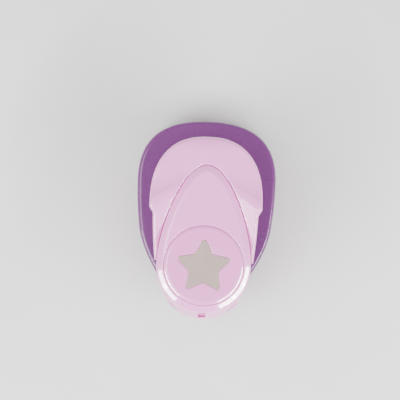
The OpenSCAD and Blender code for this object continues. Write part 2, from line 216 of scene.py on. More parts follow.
def star_outline():
    """Five-pointed star, inset all round by STAR_TIP_R."""
    tip = np.array([0, STAR_R])
    waist = STAR_WAIST * np.array([math.sin(math.radians(36)), math.cos(math.radians(36))])
    reach = abs(tip[0] * waist[1] - tip[1] * waist[0]) / np.linalg.norm(tip - waist)
    a = np.radians(90 + 36 * np.arange(10))
    k = np.where(np.arange(10) % 2 == 0, STAR_R, STAR_WAIST) * (1 - STAR_TIP_R / reach)
    return np.stack([k * np.cos(a), k * np.sin(a)], 1)


class Plan:
    """Signed distance in mm to a closed outline, negative inside, read from a fine grid."""

    def __init__(self, outline, step=0.2, margin=4.0):
        self.step = step
        self.corner = outline.min(0) - margin
        size = np.ceil((outline.max(0) + margin - self.corner) / step).astype(int) + 1
        lines = [self.corner[i] + step * np.arange(size[i]) for i in (0, 1)]
        gx, gy = np.meshgrid(*lines, indexing="ij")
        points = np.stack([gx.ravel(), gy.ravel()], 1)
        parts = [self.exact(part, outline) for part in np.array_split(points, 60)]
        self.grid = np.concatenate(parts).reshape(size)

    @staticmethod
    def exact(points, outline):
        a, b = outline, np.roll(outline, -1, 0)
        keep = np.hypot(*(b - a).T) > 1e-9
        a, b = a[keep], b[keep]
        ab = b - a
        ap = points[:, None] - a
        t = np.clip((ap * ab).sum(2) / (ab * ab).sum(1), 0, 1)
        away = np.sqrt(((ap - t[..., None] * ab) ** 2).sum(2).min(1))
        py = points[:, 1, None]
        spans = (a[:, 1] > py) != (b[:, 1] > py)
        with np.errstate(divide="ignore", invalid="ignore"):
            reach = a[:, 0] + (py - a[:, 1]) * ab[:, 0] / ab[:, 1]
        inside = (spans & (points[:, 0, None] < reach)).sum(1) % 2 == 1
        return np.where(inside, -away, away)

    def __call__(self, x, v):
        x, v = np.broadcast_arrays(x, v)
        last = np.array(self.grid.shape) - 1.001
        i = np.clip((x - self.corner[0]) / self.step, 0, last[0])
        j = np.clip((v - self.corner[1]) / self.step, 0, last[1])
        i0, j0 = i.astype(int), j.astype(int)
        s, t = i - i0, j - j0
        g = self.grid
        return ((g[i0, j0] * (1 - s) + g[i0 + 1, j0] * s) * (1 - t)
                + (g[i0, j0 + 1] * (1 - s) + g[i0 + 1, j0 + 1] * s) * t)


# ---------------------------------------------------------------- solids as distances

def both(a, b, r=0.35):
    """Where a and b overlap, with the edge rounded to radius r."""
    return np.minimum(np.maximum(a, b), -r) + np.hypot(np.maximum(a + r, 0), np.maximum(b + r, 0))


def join(a, b, r=0.35):
    """a and b together, with a fillet of radius r."""
    return -both(-a, -b, r)


def cut(a, b, r=0.35):
    """a without b."""
    return both(a, -b, r)


def slab(z, bottom, top):
    return np.abs(z - (bottom + top) / 2) - (top - bottom) / 2


def block(x, v, z, lo, hi, r=0.3):
    """A box between two corners, with its edges rounded to radius r."""
    q = [np.abs(p - (a + b) / 2) - (b - a) / 2 + r for p, a, b in zip((x, v, z), lo, hi)]
    outside = np.sqrt(sum(np.maximum(p, 0) ** 2 for p in q))
    return outside + np.minimum(np.maximum(np.maximum(q[0], q[1]), q[2]), 0) - r


def rod(a, b, r, centre_a=0.0, centre_b=0.0):
    """An endless round bar, given the two directions across it."""
    return np.hypot(a - centre_a, b - centre_b) - r


# Turns the distance along an axis to a 45 degree cone into the true one
CONE = math.sqrt(0.5)


def surface_net(field, lo, hi, step):
    """Closed quad mesh of field = 0 between two corners: (points, quads, normals, edge)."""
    axes = [np.arange(lo[i] - 2 * step, hi[i] + 3 * step, step) + step * 0.37 for i in range(3)]
    size = tuple(len(a) for a in axes)
    grid = axes[0][:, None, None], axes[1][None, :, None], axes[2][None, None, :]
    f = np.broadcast_to(field(*grid), size)
    cells = tuple(n - 1 for n in size)
    ids, places, quads = [], [], []
    for d in range(3):
        e1, e2 = (d + 1) % 3, (d + 2) % 3
        first = np.take(f, range(size[d] - 1), d)
        second = np.take(f, range(1, size[d]), d)
        at = np.argwhere((first < 0) != (second < 0))
        a, b = first[tuple(at.T)], second[tuple(at.T)]
        place = np.stack([axes[i][at[:, i]] for i in range(3)], 1)
        place[:, d] += a / (a - b) * step
        ring = []
        for s1, s2 in ((1, 1), (0, 1), (0, 0), (1, 0)):
            c = at.copy()
            c[:, e1] -= s1
            c[:, e2] -= s2
            ring.append(np.ravel_multi_index(tuple(c.T), cells))
            ids.append(ring[-1])
            places.append(place)
        ring = np.stack(ring, 1)
        quads.append(np.where((a < 0)[:, None], ring, ring[:, ::-1]))
    ids, places = np.concatenate(ids), np.concatenate(places)
    used, where = np.unique(ids, return_inverse=True)
    count = np.bincount(where)
    points = np.stack([np.bincount(where, places[:, i]) / count for i in range(3)], 1)
    quads = np.searchsorted(used, np.concatenate(quads))

    def probe(p, h):
        x, v, z = p.T
        here = field(x, v, z)
        ends = [(field(x + h * (i == 0), v + h * (i == 1), z + h * (i == 2)),
                 field(x - h * (i == 0), v - h * (i == 1), z - h * (i == 2))) for i in range(3)]
        slope = np.stack([(u - w) / (2 * h) for u, w in ends], 1)
        bend = sum(u + w - 2 * here for u, w in ends) / h ** 2
        return here, slope, bend

    for _ in range(2):
        here, slope, bend = probe(points, step * 0.5)
        shift = slope * (here / np.maximum((slope ** 2).sum(1), 0.05))[:, None]
        length = np.maximum(np.sqrt((shift ** 2).sum(1)), 1e-9)
        points = points - shift * np.minimum(1, 0.6 * step / length)[:, None]
    here, slope, bend = probe(points, step)
    normals = slope / np.maximum(np.sqrt((slope ** 2).sum(1)), 1e-6)[:, None]
    return points, quads, normals, np.clip(bend * 0.8, -1, 1)


# ---------------------------------------------------------------- pieces

def mesh_piece(name, parts, body, material, replaces=()):
    """One Blender piece from meshes in mm about the punch axis, riding on a CAD body."""
    offset, points, faces, normals, edge = 0, [], [], [], []
    for p, q, n, e in parts:
        points.append(p)
        faces.append(np.asarray(q) + offset)
        normals.append(n)
        edge.append(e)
        offset += len(p)
    points = (np.vstack(points) + [0, AXIS_Y, 0]) * MM
    faces = np.vstack(faces)
    mesh = bpy.data.meshes.new(name)
    mesh.vertices.add(len(points))
    mesh.vertices.foreach_set("co", points.astype(np.float32).ravel())
    mesh.loops.add(faces.size)
    mesh.loops.foreach_set("vertex_index", faces.astype(np.int32).ravel())
    mesh.polygons.add(len(faces))
    mesh.polygons.foreach_set("loop_start", np.arange(0, faces.size, 4, dtype=np.int32))
    mesh.update(calc_edges=True)
    mesh.validate()
    mesh.shade_smooth()
    if len(mesh.vertices) == len(points):
        mesh.normals_split_custom_set_from_vertices(np.vstack(normals).tolist())
        mesh.attributes.new("edge", "FLOAT", "POINT").data.foreach_set(
            "value", np.concatenate(edge).astype(np.float32))
    piece = bpy.data.objects.new(name, mesh)
    bpy.context.scene.collection.objects.link(piece)
    mesh.materials.append(material)
    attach(piece, body)
    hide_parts(*replaces)
    return piece


def moved(part, dx, dv):
    p, q, n, e = part
    return p + [dx, dv, 0], q, n, e


def swept(rings_of_points):
    """Quads that join rings of points, each closed on itself."""
    rings, around = rings_of_points.shape[:2]
    i, j = np.meshgrid(np.arange(rings - 1), np.arange(around), indexing="ij")
    k = (j + 1) % around
    quads = np.stack([i * around + j, i * around + k, (i + 1) * around + k, (i + 1) * around + j], 2)
    return quads.reshape(-1, 4)


# ---- plastic pieces

BASE = Plan(base_outline())
HOOD = Plan(hood_outline())
LEVER = Plan(lever_outline())
STAR_INSET = Plan(star_outline(), step=0.08, margin=3.0)


def star(x, v):
    """Plan distance to the star, its tips rounded."""
    return STAR_INSET(x, v) - STAR_TIP_R


def upward_normal(a, b):
    n = np.cross(a, b)
    return n / (np.linalg.norm(n) * np.sign(n[2]))


WING_NORMAL = upward_normal(SHOULDER - WING_TIP, SHOULDER - SHOULDER_IN)
SCOOP_NORMAL = upward_normal(SHOULDER - SCOOP_FOOT, SHOULDER - SHOULDER_IN)


def above_plane(x, v, z, normal):
    """Distance above one of the two pairs of planes that meet in the shoulder lines.

    The two planes of a pair blend over 1.5 mm at the middle, so no crease shows behind the hood.
    """
    return ((np.hypot(x, 1.5) - SHOULDER[0]) * normal[0] + (v - SHOULDER[1]) * normal[1]
            + (z - SHOULDER[2]) * normal[2])


def above_wing(x, v, z):
    return above_plane(x, v, z, WING_NORMAL)


def above_edge(v, z):
    """Distance above the lever's lower edge, which is level when the lever is pressed."""
    return (z - EDGE_Z) * math.cos(PRESS) - (v - EDGE_V) * math.sin(PRESS)


def above_rest(x, v, z):
    """Distance above the thumb rest: flat, hollowed up to the shoulders, falling at the rear."""
    fall = 0.05 * np.maximum(v - REST_FALL_V, 0) ** 2
    flat = z - REST_Z + fall
    slope = above_plane(x, v, z, SCOOP_NORMAL)
    return join(flat, slope, 1.0)


def chin(x, v, z, shrink=0.0):
    """Round nose in front of the hood: upright, then leaning back under the hood's edge."""
    side = np.hypot(x, v - (CHIN_FRONT + CHIN_R)) - CHIN_R + shrink
    lean = (side + (z - CHIN_KNEE) * CHIN_LEAN) / math.hypot(1, CHIN_LEAN)
    return both(both(side, lean, 1.2), z - CHIN_TOP + shrink / 3, 0.8)


def centred_block(x, v, z, half_w, across, low_z, high_z, r=0.3):
    """A block about the middle plane, from across[0] to across[1] along v."""
    return block(x, v, z, (-half_w, across[0], low_z), (half_w, across[1], high_z), r)


def hood_form(x, v, z):
    """The hood's outer form: a teardrop with a bevelled top, and the chin below it."""
    egg = HOOD(x, v)
    bevel = (egg + BEVEL) * math.sin(BEVEL_SLOPE) + (z - HOOD_TOP) * math.cos(BEVEL_SLOPE)
    top = both(both(egg, bevel, 0.35), z - HOOD_TOP, 0.15)
    return join(top, chin(x, v, z), 0.9)


def hinge_cheeks(x, v, z):
    """Two cheeks from the ceiling down to the pin, one on each side of the boss."""
    ends = both(rod(v, z, CHEEK_R, HINGE_V, HINGE_Z), slab(np.abs(x), CHEEK_IN, CHEEK_OUT), 0.2)
    arms = block(np.abs(x), v, z, (CHEEK_IN, CHEEK_V[0], HINGE_Z),
                 (CHEEK_OUT, CHEEK_V[1], CEILING + 0.5))
    return join(ends, arms, 0.3)


def boss_room(x, v, z):
    """Room between the cheeks for the guide block's boss and its neck."""
    bore = both(rod(v, z, BOSS_ROOM_R, HINGE_V, HINGE_Z), np.abs(x) - CHEEK_IN, 0.1)
    below = centred_block(x, v, z, CHEEK_IN, BOSS_ROOM_V, 0, HINGE_Z, 0.1)
    return join(bore, below, 0.1)


def plate_room(x, v, z):
    """Room under hood and lever for the stiffener plate that joins them."""
    return centred_block(x, v, z, PLATE_HALF_W, PLATE_V, 0, CEILING + 0.05)


def chin_window(x, v, z):
    """Small blind pocket in the chin, its floor parallel to the chin's face."""
    opening = centred_block(x, v, z, WINDOW_HALF_W, WINDOW_V, WINDOW_LOW, 30, 0.25)
    return both(opening, -WINDOW_DEPTH - chin(x, v, z), 0.1)


def hood_solid(x, v, z):
    outer = hood_form(x, v, z)
    hollow = join(both(HOOD(x, v) + WALL, z - CEILING, 1.0), chin(x, v, z, CHIN_WALL), 0.5)
    web = centred_block(x, v, z, WEB_HALF_W, (CHIN_FRONT, WEB_REAR), HINGE_Z, WEB_TOP, 0.2)
    inside = both(outer, join(hinge_cheeks(x, v, z), web), 0.2)
    shell = join(cut(outer, hollow), inside, 0.3)
    shell = cut(shell, above_edge(v, z), 0.45)
    wing_room = both(above_wing(x, v, z) + 3.0 * WING_NORMAL[2], WING_TIP[1] + 1 - v, 0.3)
    shell = cut(shell, wing_room, 0.3)
    shell = cut(shell, boss_room(x, v, z), 0.2)
    shell = cut(shell, rod(v, z, PIN_R + 0.05, HINGE_V, HINGE_Z), 0.25)
    shell = cut(shell, plate_room(x, v, z), 0.25)
    lip_notch = centred_block(x, v, z, NOTCH_HALF_W, NOTCH_V, 0, NOTCH_TOP)
    shell = cut(shell, lip_notch, 0.25)
    shell = cut(shell, chin_window(x, v, z), 0.12)
    badge_seat = both(rod(x, v, BADGE_R + 0.08), BADGE_LOW - z, 0.1)
    return cut(shell, badge_seat, 0.2)


def lever_solid(x, v, z):
    plan, rest, wing = LEVER(x, v), above_rest(x, v, z), above_wing(x, v, z)
    outer = both(both(plan, rest, 1.0), wing - 0.2, 1.3)
    hollow = both(both(plan, rest, 0.8) + WALL, wing + WING_T * WING_NORMAL[2], 0.8)
    hollow = both(hollow, 5.0 - v, 0.3)
    shell = cut(cut(outer, hollow, 0.3), above_edge(v, z), 0.5)
    shell = cut(shell, HOOD(x, v) - 0.16, 0.35)
    return cut(shell, plate_room(x, v, z), 0.25)


def badge_solid(x, v, z):
    """Round badge with a narrow bevel and a star-shaped pocket."""
    r = np.hypot(x, v)
    bevel = (r - BADGE_R) * math.sin(BEVEL_SLOPE) + (z - HOOD_TOP) * math.cos(BEVEL_SLOPE)
    disc = both(both(r - BADGE_R, BADGE_LOW - z, 0.2), both(bevel, z - BADGE_TOP, 0.12), 0.08)
    return cut(disc, both(star(x, v - INLAY_V) - 0.06, INLAY_LOW - z, 0.08), 0.1)


def inlay_solid(x, v, z):
    """The star, a hair below the badge's face."""
    return both(star(x, v - INLAY_V), slab(z, INLAY_LOW, BADGE_TOP - 0.03), 0.1)


def keyhole(x, v, round_r, half_w, rear, grow=0.0):
    """Plan of a disc with a straight tail that runs back to the rear."""
    sides = np.abs(x) - half_w - grow
    ends = np.abs(v - rear / 2 + 1) - rear / 2 - 1 - grow
    return np.minimum(rod(x, v, round_r + grow), np.maximum(sides, ends))


def die_plan(x, v, grow=0.0):
    return keyhole(x, v, DIE_R, DIE_W - 0.3, DIE_REAR, grow)


def base_solid(x, v, z):
    plan = BASE(x, v)
    outer = both(both(plan, z - BASE_TOP, 1.3), -z, 0.35)
    hollow = both(plan + BASE_WALL, z - (BASE_TOP - BASE_ROOF), 0.6)
    shell = cut(outer, hollow, 0.3)
    bed = both(die_plan(x, v, BED_WIDER), slab(z, COVER_TOP + 0.1, BASE_TOP - 0.5), 0.3)
    shell = join(shell, both(bed, plan + 1.0, 0.2), 0.5)
    for sx, sv in SCREWS_COVER:
        post = both(rod(x, v, POST_R, sx, sv), slab(z, COVER_TOP + 0.1, BASE_TOP - 1), 0.2)
        shell = join(shell, post, 0.4)
    shell = cut(shell, both(die_plan(x, v, BED_FIT), DIE_LOW - z, 0.15), 0.3)
    shell = cut(shell, rod(x, v, CHUTE_R), 0.3)
    for sx, sv in SCREWS_COVER:
        shell = cut(shell, both(rod(x, v, PILOT_R, sx, sv), z - PILOT_TOP, 0.1), 0.1)
    return shell


def cover_solid(x, v, z):
    """Bottom cover with a groove round the chute, countersinks and shallow ejector marks."""
    plate = both(BASE(x, v) + BASE_WALL + 0.12, slab(z, 0.0, COVER_TOP), 0.3)
    plate = cut(plate, rod(x, v, CHUTE_R), 0.45)
    groove = both(np.abs(rod(x, v, CHUTE_R + 1.6)) - 0.35, z - 0.3, 0.15)
    plate = cut(plate, groove, 0.15)
    for sx, sv in SCREWS_COVER:
        r = np.hypot(x - sx, v - sv)
        plate = cut(plate, np.maximum((r - 2.2 + z) * CONE, r - 2.25), 0.1)
        plate = cut(plate, r - 1.05, 0.1)
    for px, pv in ((0, 17), (0, 39), (-15, 20), (15, 20)):
        ejector_mark = both(rod(x, v, 1.5, px, pv), z - 0.12, 0.05)
        plate = cut(plate, ejector_mark, 0.05)
    return plate


# ---- metal pieces

def guide_solid(x, v, z):
    """Guide block with its star bore, the boss for the hinge pin and the stop lip in front."""
    plan = keyhole(x, v, GUIDE_R, GUIDE_W, GUIDE_REAR)
    body = both(plan, slab(z, GUIDE_LOW, GUIDE_TOP), 0.45)
    boss = both(rod(v, z, BOSS_R, HINGE_V, HINGE_Z), np.abs(x) - BOSS_HALF_W, 0.35)
    neck_v = (HINGE_V - 2.4, HINGE_V + BOSS_R)
    neck = centred_block(x, v, z, BOSS_HALF_W, neck_v, GUIDE_LOW, HINGE_Z, 0.35)
    lip_v = (LIP_FRONT, LIP_FRONT + LIP_L)
    lip = centred_block(x, v, z, LIP_HALF_W, lip_v, LIP_LOW, LIP_TOP, 0.2)
    solid = join(join(body, neck, 0.6), join(boss, lip, 0.2), 0.3)
    solid = cut(solid, star(x, v) - 0.1, 0.25)
    return cut(solid, rod(v, z, PIN_R, HINGE_V, HINGE_Z), 0.15)


def die_solid(x, v, z):
    plate = both(die_plan(x, v), slab(z, DIE_LOW, BASE_TOP), 0.18)
    plate = cut(plate, star(x, v) - 0.06, 0.06)
    relief = both(rod(x, v, RELIEF_R), z - DIE_LOW - RELIEF_H, 0.1)
    plate = cut(plate, relief, 0.15)
    for sx, sv in SCREWS_BED:
        plate = cut(plate, rod(x, v, 1.35, sx, sv), 0.1)
    return plate


def ram_solid(x, v, z):
    return both(star(x, v), slab(z, low("punch_ram").z, high("punch_ram").z), 0.1)


def cap_solid(x, v, z):
    """Round cap with a chamfered rim and a countersink for its screw."""
    r = np.hypot(x, v)
    disc = both(r - CAP_R, slab(z, SPRING_TOP, CAP_TOP), 0.2)
    chamfer = (r - CAP_R + z - CAP_TOP + 0.8) * CONE
    countersink = np.maximum((r - 3.0 + (CAP_TOP - z)) * CONE, r - 3.2)
    return cut(both(disc, chamfer, 0.2), countersink, 0.15)


def cross(x, v, size=1.0):
    """Plan of a cross recess."""
    a, b = np.abs(x), np.abs(v)
    return np.minimum(np.maximum(a - size * 0.22, b - size), np.maximum(a - size, b - size * 0.22))


def pan_head(x, v, z, head_r=2.35, head_h=1.4, shank_r=1.25, shank_l=6.7):
    """Pan-head screw with its seat at z = 0 and its head above."""
    r = np.hypot(x, v)
    rise = 0.5 * head_h
    ball_r = (head_r ** 2 + rise ** 2) / (2 * rise)
    dome = np.sqrt(r ** 2 + (z - head_h + ball_r) ** 2) - ball_r
    head = both(both(r - head_r, dome, 0.3), -z, 0.1)
    recess = np.maximum(cross(x, v, head_r * 0.58 + (z - head_h) * 0.4), head_h * 0.35 - z)
    thread = r - shank_r + 0.1 - 0.1 * np.cos(2 * math.pi * z / 0.8 - np.arctan2(v, x))
    return join(cut(head, recess, 0.1), both(thread, slab(z, -shank_l, 0.2), 0.1), 0.15)


def plate_screw(x, v, z):
    """Small pan-head screw put in from below, through the stiffener plate."""
    return pan_head(x, v, low("stiffener_plate").z - z, 1.7, 1.0, 0.9, 2.25)


def flat_head(x, v, z, r_head=2.05):
    """Countersunk screw seen from below: its head's face is at z = 0 and its shank goes up."""
    r = np.hypot(x, v)
    head = both((r - r_head + z) * CONE, -z, 0.1)
    head = both(head, z - 1.3, 0.05)
    head = cut(head, np.maximum(cross(x, v, 1.2 - z * 0.5), z - 0.75), 0.08)
    thread = r - 0.92 - 0.08 * np.cos(2 * math.pi * z / 0.7 - np.arctan2(v, x))
    return join(head, both(thread, slab(z, 0.8, 6.3), 0.1), 0.1)


def at(solid, cx, cv, cz, *more):
    """A solid moved to a place."""
    return lambda x, v, z: solid(x - cx, v - cv, z - cz, *more)


def pin_solid(x, v, z):
    """Hinge pin with rounded ends and a turning centre in each."""
    away = rod(v, z, 0.0, HINGE_V, HINGE_Z)
    past_end = np.abs(x) - PIN_HALF_L
    centre_r = 1.0
    centre = np.hypot(away, past_end - centre_r / 2) - centre_r
    return cut(both(away - PIN_R, past_end, 0.35), centre, 0.1)


def washer_solid(x, v, z):
    """Flat ring under the spring."""
    middle_r, half_width = 9.55, 0.65
    ring = np.abs(np.hypot(x, v) - middle_r) - half_width
    return both(ring, slab(z, GUIDE_TOP, SPRING_LOW), 0.12)


def pad_solid(x, v, z):
    """Half-round bar that presses on the ram's cap."""
    lo, hi = low("press_pad"), high("press_pad")
    radius = (hi.y - lo.y) / 2
    centre = (lo.y + hi.y) / 2 - AXIS_Y
    bar = both(rod(v, z, radius, centre, lo.z + radius), np.abs(x) - hi.x, 0.3)
    return both(bar, z - hi.z, 0.1)


def flat_bar(x, v, z, node, r):
    """A rectangular bar that fills a node's box, with edges rounded to radius r."""
    lo, hi = low(node), high(node)
    return block(x, v, z, (lo.x, lo.y - AXIS_Y, lo.z), (hi.x, hi.y - AXIS_Y, hi.z), r)


def plate_solid(x, v, z):
    return flat_bar(x, v, z, "stiffener_plate", 0.25)


def spacer_solid(x, v, z):
    return flat_bar(x, v, z, "throat_spacer", 0.15)


def spring_mesh(sides=14, per_turn=48):
    """Coil spring with flat end turns, as a swept tube."""
    turns, wire, coil_r, flat = 4.0, 0.9, 9.4, 0.6
    n = int(turns * per_turn)
    u = np.linspace(0, turns, n + 1)
    span = SPRING_TOP - SPRING_LOW - wire
    k = np.clip((u - flat) / (turns - 2 * flat), 0, 1)
    end_turns = np.minimum(u, flat) + np.maximum(0, u - turns + flat)
    lift = k * (span - 2 * flat * wire) + wire * end_turns
    a = 2 * math.pi * u
    b = np.linspace(0, 2 * math.pi, sides, endpoint=False)
    scale = np.ones(n + 1)
    scale[[0, -1]] = 0.02
    r = coil_r + wire / 2 * np.cos(b)[None] * scale[:, None]
    z = SPRING_LOW + wire / 2 + lift[:, None] + wire / 2 * np.sin(b)[None] * scale[:, None]
    ring = np.stack([r * np.cos(a)[:, None], r * np.sin(a)[:, None], z], 2)
    centre = np.stack([coil_r * np.cos(a), coil_r * np.sin(a), SPRING_LOW + wire / 2 + lift], 1)
    normals = ring - centre[:, None]
    normals /= np.maximum(np.linalg.norm(normals, axis=2, keepdims=True), 1e-9)
    return ring.reshape(-1, 3), swept(ring), normals.reshape(-1, 3), np.zeros(ring.size // 3)


# ---------------------------------------------------------------- materials

class Nodes:
    """A material's node tree, with short calls to add and link nodes."""

    def __init__(self, name):
        self.material = bpy.data.materials.new(name)
        self.material.use_nodes = True
        self.tree = self.material.node_tree
        self.shader = self.tree.nodes["Principled BSDF"]
        self.place = self.tree.nodes.new("ShaderNodeTexCoord").outputs["Object"]

    def add(self, kind, inputs=(), **settings):
        node = self.tree.nodes.new("ShaderNode" + kind)
        for key, value in settings.items():
            setattr(node, key, value)
        for key, value in dict(inputs).items():
            if isinstance(value, bpy.types.NodeSocket):
                self.tree.links.new(value, node.inputs[key])
            else:
                node.inputs[key].default_value = value
        return node

    def noise(self, scale, detail=3.0, rough=0.5, stretch=(1, 1, 1)):
        """Noise of a given scale per millimetre, optionally drawn out along an axis."""
        place = self.add("Mapping", {"Vector": self.place, "Scale": [s * 1000 for s in stretch]})
        return self.add("TexNoise", {"Vector": place.outputs[0], "Scale": scale, "Detail": detail,
                                     "Roughness": rough}).outputs["Fac"]

    def ramp(self, value, low, high, to=(0.0, 1.0)):
        return self.add("MapRange", {"Value": value, "From Min": low, "From Max": high,
                                     "To Min": to[0], "To Max": to[1]}).outputs["Result"]

    def math(self, operation, a, b):
        return self.add("Math", {0: a, 1: b}, operation=operation).outputs[0]

    def mix(self, factor, a, b):
        """A colour between a and b."""
        node = self.add("Mix", {"Factor": factor}, data_type="RGBA")
        for socket, value in ((node.inputs[6], a), (node.inputs[7], b)):
            if isinstance(value, bpy.types.NodeSocket):
                self.tree.links.new(value, socket)
            else:
                socket.default_value = (*value, 1)
        return node.outputs[2]

    def edge(self, low, high):
        """1 on the piece's convex edges, from the curvature kept with its mesh."""
        value = self.add("Attribute", attribute_name="edge").outputs["Fac"]
        return self.ramp(value, low, high)

    def set(self, **values):
        for key, value in values.items():
            socket = self.shader.inputs[key.replace("_", " ")]
            if isinstance(value, bpy.types.NodeSocket):
                self.tree.links.new(value, socket)
            else:
                socket.default_value = value

    def bump(self, height, distance_mm, strength=1.0, under=None):
        node = self.add("Bump", {"Height": height, "Distance": distance_mm * MM, "Strength": strength})
        if under is not None:
            self.tree.links.new(under, node.inputs["Normal"])
        return node.outputs[0]


def scaled(colour, k):
    return tuple(min(1.0, c * k) for c in colour)


def plastic(name, colour, rough, grain_mm=0.006, coat=0.0, painted_edge_highlight=0.35, depth=0.06):
    """Moulded plastic: faint flow clouding, fine mould texture, scuffs, edges polished by hands to more
    gloss, and a painted highlight that lightens convex edges.
    """
    n = Nodes(name)
    cloud = n.ramp(n.noise(0.09, 4.0), 0.3, 0.7)
    fleck = n.ramp(n.noise(1.3, 2.0), 0.35, 0.65)
    base = n.mix(cloud, scaled(colour, 0.965), scaled(colour, 1.03))
    base = n.mix(n.math("MULTIPLY", fleck, 0.25), base, scaled(colour, 1.06))
    edge = n.edge(0.05, 0.8)
    # Painted highlight: the colour is lightened on convex edges; further down, the same edge mask makes
    # them glossier.
    base = n.mix(n.math("MULTIPLY", edge, painted_edge_highlight), base, scaled(colour, 1.22))
    scuff = n.ramp(n.noise(0.4, 4.0, 0.55, stretch=(1.0, 0.25, 1.0)), 0.45, 0.85)
    roughness = n.ramp(n.noise(0.25, 4.0, 0.5), 0.25, 0.75, (rough - 0.04, rough + 0.05))
    roughness = n.math("ADD", roughness, n.math("MULTIPLY", scuff, 0.06))
    roughness = n.math("SUBTRACT", roughness, n.math("MULTIPLY", edge, 0.06))
    grain = n.bump(n.noise(5.5, 2.0), grain_mm)
    ripple = n.bump(n.noise(0.06, 1.0), 0.03, under=grain)
    n.set(Base_Color=base, Roughness=roughness, Normal=ripple)
    n.set(IOR=1.49, Coat_Weight=coat, Coat_Roughness=0.09, Coat_IOR=1.8, Subsurface_Weight=depth,
          Subsurface_Radius=(1.0, 0.6, 0.8), Subsurface_Scale=0.0012)
    return n.material


def inlay_silver(name, colour):
    """Satin silver lacquer with fine metal flake."""
    n = Nodes(name)
    cloud = n.ramp(n.noise(0.16, 5.0, 0.6), 0.3, 0.7)
    flake = n.ramp(n.noise(9.0, 1.0), 0.35, 0.7)
    base = n.mix(cloud, scaled(colour, 0.93), scaled(colour, 1.07))
    base = n.mix(n.math("MULTIPLY", flake, 0.35), base, scaled(colour, 1.35))
    roughness = n.ramp(n.noise(1.2, 4.0), 0.3, 0.7, (0.38, 0.52))
    n.set(Base_Color=base, Roughness=roughness, Normal=n.bump(n.noise(7.0, 2.0), 0.006))
    n.set(Metallic=0.55)
    return n.material


def ground_steel(name, colour, rough, along=(1, 12, 12), line_mm=0.004):
    """Steel ground in one direction, with faint stains and bright edges."""
    n = Nodes(name)
    lines = n.noise(0.6, 6.0, 0.75, stretch=along)
    stain = n.ramp(n.noise(0.12, 5.0), 0.45, 0.75)
    base = n.mix(n.ramp(lines, 0.3, 0.7), scaled(colour, 0.86), scaled(colour, 1.1))
    base = n.mix(n.math("MULTIPLY", stain, 0.35), base, scaled(colour, 0.62))
    base = n.mix(n.math("MULTIPLY", n.edge(0.1, 0.7), 0.5), base, scaled(colour, 1.5))
    roughness = n.ramp(lines, 0.3, 0.7, (rough - 0.07, rough + 0.09))
    n.set(Base_Color=base, Roughness=roughness, Normal=n.bump(lines, line_mm))
    n.set(Metallic=1.0)
    return n.material


def turned_steel(name, colour, rough):
    """Plated steel of screws and pins: small pits, handling marks and brighter edges."""
    n = Nodes(name)
    tone = n.ramp(n.noise(0.7, 5.0, 0.6), 0.3, 0.7)
    base = n.mix(tone, scaled(colour, 0.85), scaled(colour, 1.08))
    base = n.mix(n.math("MULTIPLY", n.edge(0.1, 0.8), 0.4), base, scaled(colour, 1.35))
    pits = n.ramp(n.noise(3.0, 3.0), 0.6, 0.72)
    roughness = n.ramp(n.noise(1.6, 4.0), 0.3, 0.7, (rough - 0.05, rough + 0.08))
    n.set(Base_Color=base, Roughness=roughness, Normal=n.bump(n.math("SUBTRACT", 1.0, pits), 0.01))
    n.set(Metallic=1.0)
    return n.material


def cast_zinc(name, colour):
    """Zinc casting: blasted grain, flow marks, dull grey skin worn bright on its edges."""
    n = Nodes(name)
    grain = n.noise(4.0, 4.0, 0.7)
    flow = n.ramp(n.noise(0.2, 5.0, 0.6, stretch=(1, 1, 0.4)), 0.3, 0.75)
    base = n.mix(flow, scaled(colour, 0.78), scaled(colour, 1.08))
    base = n.mix(n.math("MULTIPLY", n.ramp(grain, 0.4, 0.7), 0.3), base, scaled(colour, 1.25))
    base = n.mix(n.math("MULTIPLY", n.edge(0.1, 0.7), 0.55), base, scaled(colour, 1.6))
    n.set(Base_Color=base, Roughness=n.ramp(grain, 0.3, 0.7, (0.42, 0.6)), Normal=n.bump(grain, 0.025))
    n.set(Metallic=0.9)
    return n.material


# ---------------------------------------------------------------- the object

PINK = plastic("pink_plastic", (0.87, 0.27, 0.66), 0.26, coat=1.0)
BADGE = plastic("badge_plastic", (0.80, 0.23, 0.59), 0.28, coat=1.0)
PURPLE = plastic("purple_plastic", (0.13, 0.013, 0.145), 0.28, coat=0.35, painted_edge_highlight=0.25, depth=0.0)
COVER = plastic("cover_plastic", (0.085, 0.018, 0.10), 0.5, grain_mm=0.02)
SILVER = inlay_silver("silver_inlay", (0.42, 0.32, 0.30))
TOOL = ground_steel("tool_steel", (0.50, 0.50, 0.51), 0.33)
BRIGHT = turned_steel("bright_steel", (0.62, 0.62, 0.62), 0.27)
SPRING = turned_steel("spring_steel", (0.36, 0.36, 0.37), 0.32)
ZINC = cast_zinc("zinc_casting", (0.40, 0.40, 0.42))

FINE = 0.25
WIDE = 0.36
TINY = 0.1


def solid_piece(name, field, step, nodes, body, material, pad=0.3):
    """A piece meshed inside the box of the CAD nodes that it replaces."""
    lo = np.min([tuple(low(n)) for n in nodes], 0) - [pad, AXIS_Y + pad, pad]
    hi = np.max([tuple(high(n)) for n in nodes], 0) - [-pad, AXIS_Y - pad, -pad]
    return mesh_piece(name, [surface_net(field, lo, hi, step)], body, material, nodes)


def screw_set(name, field, places, height, step, reach, node, body):
    """Identical screws as one piece: meshed once, then copied to their places."""
    part = surface_net(field, (-reach, -reach, height[0]), (reach, reach, height[1]), step)
    parts = [moved(part, *p) for p in places]
    return mesh_piece(name, parts, body, BRIGHT, [node])


